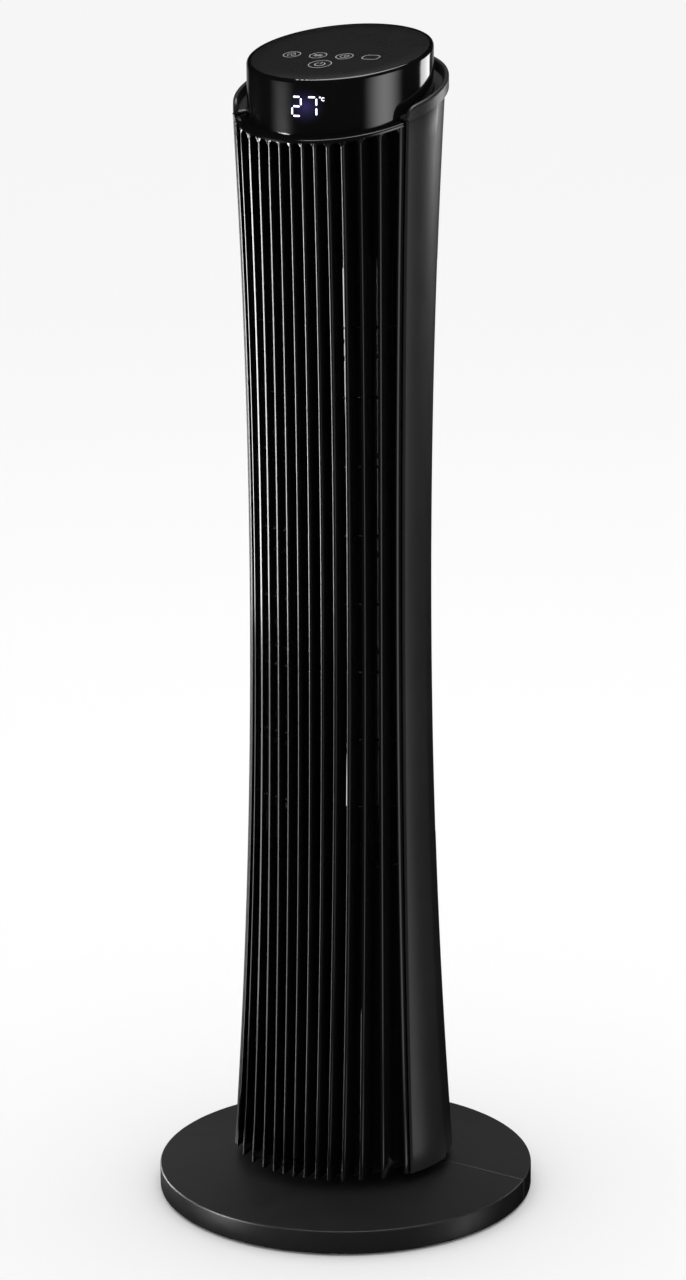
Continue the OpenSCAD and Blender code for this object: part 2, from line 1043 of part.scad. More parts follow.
module swing_motor() {
  color("#c8c8cc")
    translate([0, pinion_y, 0])
      difference() {
        union() {
          translate([0, 0, 62.05])
            cylinder(r = 24.5, h = 20);
          translate([0, 0, 60.4])
            cylinder(r = 6, h = 2);
          translate([-34, -6, 62.05])
            cube([68, 12, 1.5]);
        }
        translate([0, 0, 50])
          cylinder(r = 3 + run_gap, h = 25);
      }
}

module wire_harness() {
  color("#c0392b")
    translate(concat(around(harness_r, harness_a), [110]))
      cylinder(r = 2.2, h = 770);
  color("#efeee8")
    translate(concat(around(harness_r - 1.4, harness_a), [101]))
      translate([-2.6, -5, 0])
        cube([5.2, 10, 9]);
}

module shell_screws() {
  color("#b8b8bc")
    for (z = screw_rows)
      for (x = [-screw_x, screw_x])
        translate([x, boss_y(z) - 9, z])
          rotate([-90, 0, 0]) {
            cylinder(r = 1.5, h = 13.05);
            translate([0, 0, 13.05])
              cylinder(r = 3.2, h = 2.2);
          }
}

module chassis_screws() {
  color("#b8b8bc") {
    for (p = pillar_places)
      translate([p[0], p[1], pillar_top(p) - 10]) {
        cylinder(r = 1.5, h = 14.2);
        translate([0, 0, 14.2])
          cylinder(r = 3, h = 2);
      }
    for (a = damper_angles)
      translate(concat(around(damper_r, a), [motor_z1 - 4])) {
        cylinder(r = 1.5, h = plate_z + plate_t - motor_z1 + 4.05);
        translate([0, 0, plate_z + plate_t - motor_z1 + 4.05])
          cylinder(r = 3, h = 2);
      }
  }
}

// --------------------------------------------------------------- rotor

blade_t = 1.1;
blade_arc_r = 8;

module blade(h) {
  linear_extrude(h)
    translate([impeller_r - 5.6, 0])
      intersection() {
        difference() {
          translate([0, blade_arc_r - 1])
            circle(r = blade_arc_r, $fn = 48);
          translate([0, blade_arc_r - 1])
            circle(r = blade_arc_r - blade_t, $fn = 48);
        }
        translate([-3.8, -2])
          square([8.6, 6]);
      }
}

module impeller_segment(i) {
  color("#1a1a1c")
    translate([0, 0, impeller_z0 + (i - 1) * segment_h]) {
      tube(impeller_r - 10, impeller_r, 2);
      for (k = [0:blades - 1])
        rotate([0, 0, 360 / blades * k])
          translate([0, 0, 1.5])
            blade(segment_h - 1.5 - fit_gap);
    }
}

module impeller_bottom_disc() {
  color("#1a1a1c")
    difference() {
      union() {
        translate([0, 0, impeller_z0 - 3])
          cylinder(r = impeller_r, h = 3 - fit_gap);
        translate([0, 0, impeller_z0 - 3])
          cylinder(r = 10, h = 20);
      }
      translate([0, 0, impeller_z0 - 4])
        cylinder(r = shaft_r + fit_gap, h = 30);
    }
}

module impeller_top_disc() {
  color("#1a1a1c")
    difference() {
      union() {
        translate([0, 0, impeller_z1])
          cylinder(r = impeller_r, h = 2.5);
        translate([0, 0, impeller_z1 - 12])
          cylinder(r = 8, h = 12);
      }
      translate([0, 0, impeller_z1 - 13])
        cylinder(r = stub_r + fit_gap, h = 30);
    }
}

module top_stub() {
  color("#c8c8cc")
    translate([0, 0, impeller_z1 - 12])
      cylinder(r = stub_r, h = roof_z + 12 - impeller_z1 + 12);
}

module motor_shaft() {
  color("#c8c8cc")
    translate([0, 0, motor_z0 - 6])
      cylinder(r = shaft_r, h = impeller_z0 + 16 - motor_z0 + 6);
}

module motor_rotor() {
  color("#7c7e83")
    translate([0, 0, stator_z0])
      tube(shaft_r + fit_gap, 19, stator_h);
}

// --------------------------------------------------------------- pinion

module drive_pinion() {
  r_tip = pinion_pitch_r + tip_short * gear_module;
  r_root = pinion_pitch_r - root_deep * gear_module;
  teeth = [for (i = [0:pinion_teeth - 1]) each tooth_points(pinion_teeth, r_tip, r_root, i)];
  color("#e8e6df")
    translate([0, pinion_y, gear_z0]) {
      rotate([0, 0, pinion_phase])
        linear_extrude(gear_h)
          polygon(teeth);
      translate([0, 0, gear_h - 0.01])
        cylinder(r = 3, h = 12);
    }
}

// the sector has a tooth on its centre line, base_turn away from the pinion, so the
// pinion is turned until one of its gaps takes the tooth that stands there
pinion_phase = 180 / pinion_teeth + base_turn * ring_teeth / pinion_teeth * -1;

// ---------------------------------------------------------------- nodes

base_front_half();
base_rear_half();
for (i = [1:feet])
  rubber_foot(i);
pivot_post();
base_lock_nut();
base_screws();
swivel_washer();
retaining_ring();
sector_gear();
gear_screws();
cord_grommet();
tower_foot();
rear_shell();
side_panel_left();
side_panel_right();
front_grille();
lower_shroud();
upper_shroud();
scroll_wall();
tongue_wall();
motor_plate();
duct_roof();
bearing_holder();
top_bearing();
top_collar();
handle_cup();
head_tray();
head_shell();
touch_panel();
display_module();
display_digits();
control_board();
touch_springs();
power_board();
motor_case_lower();
motor_case_upper();
stator_core();
motor_windings();
motor_bushes();
motor_dampers();
run_capacitor();
swing_motor();
wire_harness();
shell_screws();
chassis_screws();
for (i = [1:segments])
  impeller_segment(i);
impeller_bottom_disc();
impeller_top_disc();
top_stub();
motor_shaft();
motor_rotor();
drive_pinion();
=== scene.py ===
import bpy
import json
import math
from mathutils import Matrix, Vector


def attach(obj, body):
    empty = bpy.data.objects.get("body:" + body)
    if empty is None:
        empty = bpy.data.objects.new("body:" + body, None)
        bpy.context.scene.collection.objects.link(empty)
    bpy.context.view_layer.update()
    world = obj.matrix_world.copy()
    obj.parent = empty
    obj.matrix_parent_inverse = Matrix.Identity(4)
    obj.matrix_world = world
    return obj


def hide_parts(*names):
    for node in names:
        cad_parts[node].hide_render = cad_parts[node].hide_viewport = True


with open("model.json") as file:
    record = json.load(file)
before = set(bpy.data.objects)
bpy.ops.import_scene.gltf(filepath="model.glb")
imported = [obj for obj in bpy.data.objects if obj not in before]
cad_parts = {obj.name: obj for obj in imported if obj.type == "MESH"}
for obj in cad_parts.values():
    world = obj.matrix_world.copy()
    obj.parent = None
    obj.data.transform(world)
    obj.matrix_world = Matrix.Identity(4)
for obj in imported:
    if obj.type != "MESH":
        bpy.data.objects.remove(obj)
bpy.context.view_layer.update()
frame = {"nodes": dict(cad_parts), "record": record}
print("frame loaded:", len(frame["nodes"]), "nodes")

mm = 0.001

# the tower's outer form, in millimetres: two arcs that meet at the waist
tower = {"waistRadius": 71.1, "waistHeight": 510, "lowArc": 6500, "topArc": 7000,
         "foot": 36, "shoulder": 872.6, "shoulderSlope": 16, "rearInset": 2, "wall": 3}
roughHeight = 812  # a first guess at a wall's height, which loops then bring to the shoulder


def towerRadius(z):
    arc = tower["lowArc"] if z < tower["waistHeight"] else tower["topArc"]
    return tower["waistRadius"] + arc - math.sqrt(arc * arc - (z - tower["waistHeight"]) ** 2)


def shoulderHeight(y):
    return tower["shoulder"] + y * math.tan(math.radians(tower["shoulderSlope"]))


def around(radius, angle):
    # angles in degrees, from the front towards +X
    a = math.radians(angle)
    return radius * math.sin(a), -radius * math.cos(a)


def shoulderAt(angle, inset=0):
    # height at which the wall meets the sloping shoulder
    z = tower["shoulder"]
    for step in range(6):
        z = shoulderHeight(around(towerRadius(z) - inset, angle)[1])
    return z


def arcPoints(cx, cy, radius, start, end, count):
    # points of an arc, angles in degrees from +X
    angles = [math.radians(start + (end - start) * i / (count - 1)) for i in range(count)]
    return [(cx + radius * math.cos(a), cy + radius * math.sin(a)) for a in angles]


def deselectAll():
    bpy.ops.object.select_all(action="DESELECT")


def activate(obj):
    deselectAll()
    obj.select_set(True)
    bpy.context.view_layer.objects.active = obj


def wrapGrid(name, across, along, rule, loop=False, caps=False):
    # a flat grid whose points are placed by a rule of (u, v), each from 0 to 1;
    # loop closes it where u comes round, caps closes its ends
    deselectAll()
    bpy.ops.mesh.primitive_grid_add(x_subdivisions=across, y_subdivisions=along, size=1)
    obj = bpy.context.object
    obj.name = obj.data.name = name
    for vert in obj.data.vertices:
        spot = rule(vert.co.x + 0.5, vert.co.y + 0.5)
        vert.co = (spot[0] * mm, spot[1] * mm, spot[2] * mm)
    bpy.ops.object.mode_set(mode="EDIT")
    if loop:
        bpy.ops.mesh.select_all(action="SELECT")
        bpy.ops.mesh.remove_doubles(threshold=2e-6)
    if caps:
        bpy.ops.mesh.select_all(action="DESELECT")
        bpy.ops.mesh.select_mode(type="EDGE")
        bpy.ops.mesh.select_non_manifold(extend=False)
        bpy.ops.mesh.fill_holes(sides=0)
    bpy.ops.mesh.select_all(action="SELECT")
    bpy.ops.mesh.normals_make_consistent(inside=False)
    bpy.ops.mesh.select_mode(type="VERT")
    bpy.ops.object.mode_set(mode="OBJECT")
    return obj


def faceOutward(obj):
    # open sheets are turned so that their faces look away from the axis
    middle = obj.data.polygons[len(obj.data.polygons) // 2]
    if middle.normal.x * middle.center.x + middle.normal.y * middle.center.y < 0:
        activate(obj)
        bpy.ops.object.mode_set(mode="EDIT")
        bpy.ops.mesh.select_all(action="SELECT")
        bpy.ops.mesh.flip_normals()
        bpy.ops.object.mode_set(mode="OBJECT")


def thicken(obj, thickness):
    # inwards from the outer face
    modifier = obj.modifiers.new("wall", "SOLIDIFY")
    modifier.thickness = thickness * mm
    modifier.offset = -1
    modifier.use_even_offset = True
    activate(obj)
    bpy.ops.object.modifier_apply(modifier="wall")


def roundEdges(obj, width, angle):
    modifier = obj.modifiers.new("round", "BEVEL")
    modifier.width = width * mm
    modifier.segments = 2
    modifier.limit_method = "ANGLE"
    modifier.angle_limit = math.radians(angle)
    activate(obj)
    bpy.ops.object.modifier_apply(modifier="round")


def smoothByAngle(obj, angle):
    activate(obj)
    bpy.ops.object.shade_smooth_by_angle(angle=math.radians(angle))


def joinPieces(pieces, name):
    deselectAll()
    for piece in pieces:
        piece.select_set(True)
    bpy.context.view_layer.objects.active = pieces[0]
    if len(pieces) > 1:
        bpy.ops.object.join()
    pieces[0].name = pieces[0].data.name = name
    return pieces[0]


def finishPiece(obj, body, slotName, *nodes):
    obj.data.materials.clear()
    obj.data.materials.append(finishes[slotName])
    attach(obj, body)
    if nodes:
        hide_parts(*nodes)
    return obj


def newMaterial(name):
    material = bpy.data.materials.new(name)
    material.use_nodes = True
    nodes = material.node_tree.nodes
    return material, nodes, material.node_tree.links, nodes["Principled BSDF"]


def mouldedPlastic(name, color, roughness, grain=900, grainHeight=0.02, spread=0.06, specular=0.5):
    # base colour with a slow mottling, uneven gloss, and a fine moulded grain (its height in millimetres)
    material, nodes, links, shader = newMaterial(name)
    place = nodes.new("ShaderNodeTexCoord")
    slow = nodes.new("ShaderNodeTexNoise")
    slow.inputs["Scale"].default_value = 14
    slow.inputs["Detail"].default_value = 4
    links.new(place.outputs["Object"], slow.inputs["Vector"])
    tint = nodes.new("ShaderNodeValToRGB")
    tint.color_ramp.elements[0].position = 0.3
    tint.color_ramp.elements[1].position = 0.75
    tint.color_ramp.elements[0].color = (*[c * (1 - spread * 2) for c in color], 1)
    tint.color_ramp.elements[1].color = (*[min(1, c * (1 + spread * 2)) for c in color], 1)
    links.new(slow.outputs["Fac"], tint.inputs["Fac"])
    links.new(tint.outputs["Color"], shader.inputs["Base Color"])
    smear = nodes.new("ShaderNodeTexNoise")
    smear.inputs["Scale"].default_value = 55
    smear.inputs["Detail"].default_value = 5
    links.new(place.outputs["Object"], smear.inputs["Vector"])
    gloss = nodes.new("ShaderNodeMapRange")
    gloss.inputs["To Min"].default_value = max(0.02, roughness * (1 - spread * 2.5))
    gloss.inputs["To Max"].default_value = min(1, roughness * (1 + spread * 2.5))
    links.new(smear.outputs["Fac"], gloss.inputs["Value"])
    links.new(gloss.outputs["Result"], shader.inputs["Roughness"])
    if grainHeight > 0:
        grit = nodes.new("ShaderNodeTexNoise")
        grit.inputs["Scale"].default_value = grain
        grit.inputs["Detail"].default_value = 3
        links.new(place.outputs["Object"], grit.inputs["Vector"])
        bump = nodes.new("ShaderNodeBump")
        bump.inputs["Strength"].default_value = 0.35
        bump.inputs["Distance"].default_value = grainHeight * mm
        links.new(grit.outputs["Fac"], bump.inputs["Height"])
        links.new(bump.outputs["Normal"], shader.inputs["Normal"])
    shader.inputs["Specular IOR Level"].default_value = specular
    return material


def brushedMetal(name, color, roughness, stretch=(1, 1, 60)):
    # the streaks run along the axes whose scale is smallest
    material, nodes, links, shader = newMaterial(name)
    place = nodes.new("ShaderNodeTexCoord")
    turn = nodes.new("ShaderNodeMapping")
    turn.inputs["Scale"].default_value = stretch
    links.new(place.outputs["Object"], turn.inputs["Vector"])
    brush = nodes.new("ShaderNodeTexNoise")
    brush.inputs["Scale"].default_value = 180
    brush.inputs["Detail"].default_value = 6
    links.new(turn.outputs["Vector"], brush.inputs["Vector"])
    gloss = nodes.new("ShaderNodeMapRange")
    gloss.inputs["To Min"].default_value = roughness * 0.7
    gloss.inputs["To Max"].default_value = roughness * 1.4
    links.new(brush.outputs["Fac"], gloss.inputs["Value"])
    links.new(gloss.outputs["Result"], shader.inputs["Roughness"])
    tint = nodes.new("ShaderNodeValToRGB")
    tint.color_ramp.elements[0].color = (*[c * 0.82 for c in color], 1)
    tint.color_ramp.elements[1].color = (*color, 1)
    links.new(brush.outputs["Fac"], tint.inputs["Fac"])
    links.new(tint.outputs["Color"], shader.inputs["Base Color"])
    bump = nodes.new("ShaderNodeBump")
    bump.inputs["Strength"].default_value = 0.2
    bump.inputs["Distance"].default_value = 0.02 * mm
    links.new(brush.outputs["Fac"], bump.inputs["Height"])
    links.new(bump.outputs["Normal"], shader.inputs["Normal"])
    shader.inputs["Metallic"].default_value = 1
    return material


def litSign(name, color, strength):
    # the light box behind the digits is slightly cloudy
    material, nodes, links, shader = newMaterial(name)
    place = nodes.new("ShaderNodeTexCoord")
    cloud = nodes.new("ShaderNodeTexNoise")
    cloud.inputs["Scale"].default_value = 260
    links.new(place.outputs["Object"], cloud.inputs["Vector"])
    tint = nodes.new("ShaderNodeValToRGB")
    tint.color_ramp.elements[0].color = (*[c * 0.9 for c in color], 1)
    tint.color_ramp.elements[1].color = (*color, 1)
    links.new(cloud.outputs["Fac"], tint.inputs["Fac"])
    links.new(tint.outputs["Color"], shader.inputs["Emission Color"])
    shader.inputs["Base Color"].default_value = (*color, 1)
    shader.inputs["Emission Strength"].default_value = strength
    shader.inputs["Roughness"].default_value = 0.3
    return material


finishes = {
    "base_plastic": mouldedPlastic("basePlastic", (0.011, 0.011, 0.0115), 0.40, 700, 0.015, 0.06, 0.4),
    "casing_plastic": mouldedPlastic("casingPlastic", (0.016, 0.016, 0.0155), 0.36, 900, 0.012),
    "head_gloss": mouldedPlastic("headGloss", (0.004, 0.004, 0.004), 0.10, 300, 0.0, 0.04, 0.5),
    "rear_plastic": mouldedPlastic("rearPlastic", (0.012, 0.012, 0.012), 0.40, 900, 0.02),
    "gloss_black": mouldedPlastic("glossBlack", (0.004, 0.004, 0.004), 0.12, 300, 0.0, 0.05, 0.5),
    "touch_plate": mouldedPlastic("touchPlate", (0.014, 0.0135, 0.0135), 0.28, 1400, 0.006, 0.04, 0.4),
    "inner_plastic": mouldedPlastic("innerPlastic", (0.008, 0.008, 0.009), 0.55, 900, 0.02, 0.06, 0.25),
    "white_nylon": mouldedPlastic("whiteNylon", (0.72, 0.70, 0.64), 0.45),
    "black_rubber": mouldedPlastic("blackRubber", (0.012, 0.012, 0.012), 0.75, 500, 0.05),
    "zinc_steel": brushedMetal("zincSteel", (0.62, 0.62, 0.64), 0.35),
    "ground_steel": brushedMetal("groundSteel", (0.70, 0.70, 0.71), 0.22, (1, 1, 0.05)),
    "core_steel": brushedMetal("coreSteel", (0.30, 0.30, 0.32), 0.5, (0.05, 0.05, 8)),
    "copper_wire": brushedMetal("copperWire", (0.72, 0.30, 0.11), 0.32, (0.2, 0.2, 12)),
    "bronze_bush": brushedMetal("bronzeBush", (0.65, 0.45, 0.20), 0.35),
    "green_board": mouldedPlastic("greenBoard", (0.02, 0.13, 0.05), 0.35),
    "capacitor_case": mouldedPlastic("capacitorCase", (0.72, 0.72, 0.68), 0.4),
    "spring_metal": brushedMetal("springMetal", (0.80, 0.62, 0.22), 0.28),
    "wire_jacket": mouldedPlastic("wireJacket", (0.45, 0.03, 0.02), 0.4),
    "display_light": litSign("displayLight", (0.86, 0.88, 1.0), 1.6),
    "key_print": mouldedPlastic("keyPrint", (0.42, 0.42, 0.42), 0.5, 900, 0.0, 0.15),
}


def addGlow(material, centre, reach, color, strength):
    # painted glow: emission on the housing that stands in for light spreading from the digits through the
    # dark window
    nodes, links = material.node_tree.nodes, material.node_tree.links
    shader = nodes["Principled BSDF"]
    place = nodes.new("ShaderNodeTexCoord")
    shift = nodes.new("ShaderNodeMapping")
    shift.inputs["Scale"].default_value = [1 / (r * mm) for r in reach]
    shift.inputs["Location"].default_value = [-c / r for c, r in zip(centre, reach)]
    links.new(place.outputs["Object"], shift.inputs["Vector"])
    ball = nodes.new("ShaderNodeTexGradient")
    ball.gradient_type = "QUADRATIC_SPHERE"
    links.new(shift.outputs["Vector"], ball.inputs["Vector"])
    power = nodes.new("ShaderNodeMath")
    power.operation = "MULTIPLY"
    power.inputs[1].default_value = strength
    links.new(ball.outputs["Fac"], power.inputs[0])
    links.new(power.outputs["Value"], shader.inputs["Emission Strength"])
    shader.inputs["Emission Color"].default_value = (*color, 1)


# the painted glow round the digits, in millimetres
glow = {"centre": (4, -70, 873.8), "reach": (17, 14, 15), "color": (0.30, 0.26, 1.0), "strength": 0.10}
addGlow(finishes["head_gloss"], glow["centre"], glow["reach"], glow["color"], glow["strength"])

nodeSlots = {part["node"]: part["material_slot"] for part in frame["record"]["subparts"]}
for nodeName, node in frame["nodes"].items():
    if not node.material_slots:
        node.data.materials.append(None)
    for place in node.material_slots:
        place.material = finishes[nodeSlots[nodeName]]
print("materials ready:", len(finishes))


grille = {"pitch": 9.5, "barThickness": 2.4, "depth": 20, "edgeHalfWidth": 63, "edgeSpread": 0.72,
          "lastBar": 6.5, "straightBars": 2.5, "spreadPower": 1.6, "noseRows": 8, "footRadius": 1.2,
          "band": 2.4, "bandRound": 0.9, "bandY": -80, "ledgeRadius": 70.9,
          "archDepth": 4.5, "archSink": 1.12,
          "ribs": 8, "ribFirst": 333.5, "ribPitch": 53.5, "ribIn": 0.8, "levels": 40}


def edgeX(z):
    return grille["edgeHalfWidth"] + grille["edgeSpread"] * (towerRadius(z) - tower["waistRadius"])


def barX(k, z):
    share = max(abs(k) - grille["straightBars"], 0) / (grille["lastBar"] - grille["straightBars"])
    spread = edgeX(z) - grille["lastBar"] * grille["pitch"]
    return grille["pitch"] * k + math.copysign(spread * share ** grille["spreadPower"], k)


def frontY(x, z):
    return -math.sqrt(towerRadius(z) ** 2 - x * x)


def barList():
    # (position, left side, right side), the outer two stand inside the grille's edges
    half = grille["barThickness"] / 2
    inner = [(i + 0.5, -half, half) for i in range(-6, 6)]
    last = grille["lastBar"]
    return [(-last, 0, 2 * half)] + inner + [(last, -2 * half, 0)]


def barLevels():
    # shares of a bar's height: close together round its foot, then even
    foot = [s / 800 for s in (0, 0.08, 0.25, 0.5, 0.8, 1.2)]
    start, count = 0.012, grille["levels"]
    return foot + [start + (1 - start) * i / count for i in range(count + 1)]


def makeBar(k, x0, x1):
    # an upright bar with a round nose and a rounded foot, which follows the curved front
    nose = (x1 - x0) / 2
    rows = grille["noseRows"]
    section = [(nose * math.sin(a), nose - nose * math.cos(a))
               for a in [math.radians(-90 + 180 * i / rows) for i in range(rows + 1)]]
    depth = grille["depth"]
    section += [(nose, depth * 0.5), (nose, depth - 0.4), (nose - 0.4, depth),
                (0.4 - nose, depth), (-nose, depth - 0.4), (-nose, depth * 0.5)]
    levels = barLevels()
    radius = grille["footRadius"]

    def rule(u, v):
        dx, dy = section[round(u * len(section)) % len(section)]
        share = levels[round(v * (len(levels) - 1))]
        z = tower["foot"] + roughHeight * share
        for step in range(3):
            x = barX(k, z) + (x0 + x1) / 2 + dx
            y = frontY(x, z) + dy
            top = shoulderHeight(y) - grille["band"] / 2
            z = tower["foot"] + (top - tower["foot"]) * share
        up = min(z - tower["foot"], radius)
        inset = radius - math.sqrt(radius * radius - (radius - up) ** 2)
        y = frontY(x, z) + inset + dy * (depth - inset) / depth
        return x, y, z

    return wrapGrid("bar", len(section), len(levels) - 1, rule, loop=True, caps=True)


def makeArch(left, right):
    # the rounded top of the slot between two bars
    nose = grille["barThickness"] / 2
    # (depth behind the front, height over the slot's edge), or None at the band above
    section = [(0, None), (0, nose)]
    section += [(nose - nose * math.cos(a), nose - nose * math.sin(a))
                for a in [math.radians(22.5 * i) for i in range(1, 5)]]
    section += [(grille["archDepth"], 0), (grille["archDepth"], None)]

    def rule(u, v):
        dy, dz = section[round(u * len(section)) % len(section)]
        z = shoulderHeight(grille["bandY"])
        xLeft = barX(left[0], z) + left[2]
        xRight = barX(right[0], z) + right[1]
        radius = (xRight - xLeft) / 2
        t = math.radians(180 * v)
        sink = 1 if 0 < v < 1 else grille["archSink"]  # its two ends go into the bars
        x = (xLeft + xRight) / 2 - radius * math.cos(t) * sink
        y = frontY(x, z) + dy
        top = shoulderHeight(frontY(x, z))
        if dz is None:
            return x, y, shoulderHeight(y) - grille["band"] / 2
        return x, y, top - grille["band"] - radius + radius * math.sin(t) + dz

    return wrapGrid("arch", len(section), 16, rule, loop=True, caps=True)


def makeBand():
    # the rim over the slots and its ledge in to the head
    rim = grille["bandRound"]
    low = grille["band"]
    section = [(0, -low), (0, -rim)] + [(rim - rim * math.cos(a), -rim + rim * math.sin(a))
                                       for a in [math.radians(22.5 * i) for i in range(1, 5)]]
    section += [(1, 0), (1, -low)]

    def rule(u, v):
        dy, dz = section[round(u * len(section)) % len(section)]
        z = shoulderHeight(grille["bandY"])
        half = math.degrees(math.asin((edgeX(z) - 0.1) / towerRadius(z)))
        angle = -half + 2 * half * v
        z = shoulderAt(angle)
        radius = towerRadius(z) - dy
        if section.index((dy, dz)) >= len(section) - 2:
            radius = grille["ledgeRadius"]
        x, y = around(radius, angle)
        return x, y, shoulderHeight(y) + dz

    return wrapGrid("band", len(section), 72, rule, loop=True, caps=True)


def makeRib(z):
    # a level rib behind the bars, across the outlet
    section = [(0.3, -1), (1.7, -1), (2, -0.7), (2, 0.7), (1.7, 1), (0.3, 1), (0, 0.7), (0, -0.7)]

    def rule(u, v):
        dr, dz = section[round(u * len(section)) % len(section)]
        half = math.degrees(math.asin((edgeX(z) - 2.8) / towerRadius(z)))
        x, y = around(towerRadius(z) + grille["ribIn"] + dr, -half + 2 * half * v)
        return x, y + grille["depth"], z + dz

    return wrapGrid("rib", len(section), 40, rule, loop=True, caps=True)


bars = barList()
grilleParts = [makeBar(*bar) for bar in bars]
grilleParts += [makeArch(bars[i], bars[i + 1]) for i in range(len(bars) - 1)]
grilleParts.append(makeBand())
grilleParts += [makeRib(grille["ribFirst"] + grille["ribPitch"] * i) for i in range(grille["ribs"])]
frontGrille = joinPieces(grilleParts, "front_grille_moulding")
smoothByAngle(frontGrille, 40)
finishPiece(frontGrille, "tower", "gloss_black", "front_grille")
print("grille made:", len(frontGrille.data.polygons), "faces")


shroud = {"behind": 20.3, "outer": 0.4, "thickness": 2.2, "side": 1, "window": (284, 761),
          "bottom": 41.2, "topDrop": 8}


def makeShroud(name, z0, topRule, node):
    def rule(u, v):
        z = z0
        for step in range(4):
            half = edgeX(z) - shroud["side"]
            x = -half + 2 * half * u
            y = shroud["behind"] - math.sqrt((towerRadius(z) - shroud["outer"]) ** 2 - x * x)
            z = z0 + (topRule(y) - z0) * v
        return x, y, z

    piece = wrapGrid(name, 48, 24, rule)
    faceOutward(piece)
    thicken(piece, shroud["thickness"])
    smoothByAngle(piece, 35)
    finishPiece(piece, "tower", "gloss_black", node)


makeShroud("lower_shroud_panel", shroud["bottom"], lambda y: shroud["window"][0] - 0.2, "lower_shroud")
makeShroud("upper_shroud_panel", shroud["window"][1],
           lambda y: shoulderHeight(y) - shroud["topDrop"], "upper_shroud")
print("shrouds made")


sidePanel = {"backAngle": 89.9, "lip": 12, "lipWall": 2.3, "nose": 1.9, "rows": 40, "clearance": 0.3}


def panelSection(z, side):
    # outline at one height, from the back edge round the front nose to the inner lip
    outer = towerRadius(z)
    inner = outer - tower["wall"]
    start = math.degrees(math.asin((edgeX(z) + sidePanel["clearance"]) / outer))
    nose = sidePanel["nose"]
    noseTurn = math.degrees(nose / outer)
    points = [around(outer, sidePanel["backAngle"] - (sidePanel["backAngle"] - start - noseTurn) * i / 14)
              for i in range(15)]
    x0 = edgeX(z) + sidePanel["clearance"]
    front = around(outer, start + noseTurn * 1.6)
    centre = (x0 + nose, front[1] + nose * 0.9)
    points += arcPoints(centre[0], centre[1], nose, -62, -180, 7)
    lipBack = centre[1] + sidePanel["lip"] - 1
    x1 = x0 + sidePanel["lipWall"]
    points += [(x0, lipBack), (x1, lipBack)]
    points += [(x1, max(-math.sqrt(max(inner ** 2 - x1 ** 2, 0)) + 0.5, centre[1] + 1))]
    innerStart = math.degrees(math.asin(min((x1 + 0.4) / inner, 0.999)))
    points += [around(inner, innerStart + (sidePanel["backAngle"] - innerStart) * i / 8) for i in range(9)]
    return [(side * x, y) for x, y in points]


def makeSidePanel(name, side, node):
    rows = sidePanel["rows"]

    def rule(u, v):
        z = tower["foot"] + v * roughHeight
        for step in range(4):
            section = panelSection(z, side)
            x, y = section[round(u * len(section)) % len(section)]
            z = tower["foot"] + v * (shoulderHeight(y) - tower["foot"])
        return x, y, z

    count = len(panelSection(tower["waistHeight"], side))
    piece = wrapGrid(name, count, rows, rule, loop=True, caps=True)
    roundEdges(piece, 0.35, 60)
    smoothByAngle(piece, 38)
    finishPiece(piece, "tower", "casing_plastic", node)


makeSidePanel("side_panel_right_shell", 1, "side_panel_right")
makeSidePanel("side_panel_left_shell", -1, "side_panel_left")
print("side panels made")


rearShell = {"from": 90.1, "to": 269.9, "slotFrom": 111, "slotTo": 249, "slotStep": 6, "slotWidth": 3.6,
             "slotBottom": 296, "slotTop": 752, "slotRows": 6, "slotGap": 12, "plainTop": 28, "topRows": 3,
             "handleHalf": 34, "handleBottom": 814, "handleTop": 856, "handleCorner": 8,
             "handleCut": (80, 60), "screwCut": (75, 40),  # middle and depth of the cutters along Y
             "screwX": 30, "screwHeights": (48, 295.5, 776), "screwRadius": 3.7}


def slotPitch():
    return (rearShell["slotTop"] - rearShell["slotBottom"] + rearShell["slotGap"]) / rearShell["slotRows"]


def rearCuts():
    # the angles and heights at which the shell is divided, so that slots fall between them
    meanRadius = 72
    slotHalf = math.degrees(rearShell["slotWidth"] / 2 / meanRadius)
    first = rearShell["slotFrom"] - rearShell["slotStep"] / 2
    last = rearShell["slotTo"] + rearShell["slotStep"] / 2
    angles = [rearShell["from"] + (first - rearShell["from"]) * i / 5 for i in range(6)]
    for i in range(int((rearShell["slotTo"] - rearShell["slotFrom"]) / rearShell["slotStep"]) + 1):
        middle = rearShell["slotFrom"] + i * rearShell["slotStep"]
        angles += [middle - slotHalf, middle + slotHalf]
    angles += [last + (rearShell["to"] - last) * i / 5 for i in range(6)]
    heights = [tower["foot"] + (rearShell["slotBottom"] - tower["foot"]) * i / 10 for i in range(10)]
    for row in range(rearShell["slotRows"]):
        z = rearShell["slotBottom"] + row * slotPitch()
        heights += [z + (slotPitch() - rearShell["slotGap"]) * i / 3 for i in range(4)]
    heights += [rearShell["slotTop"] + rearShell["plainTop"] * share for share in (0.5, 1)]
    return angles, heights


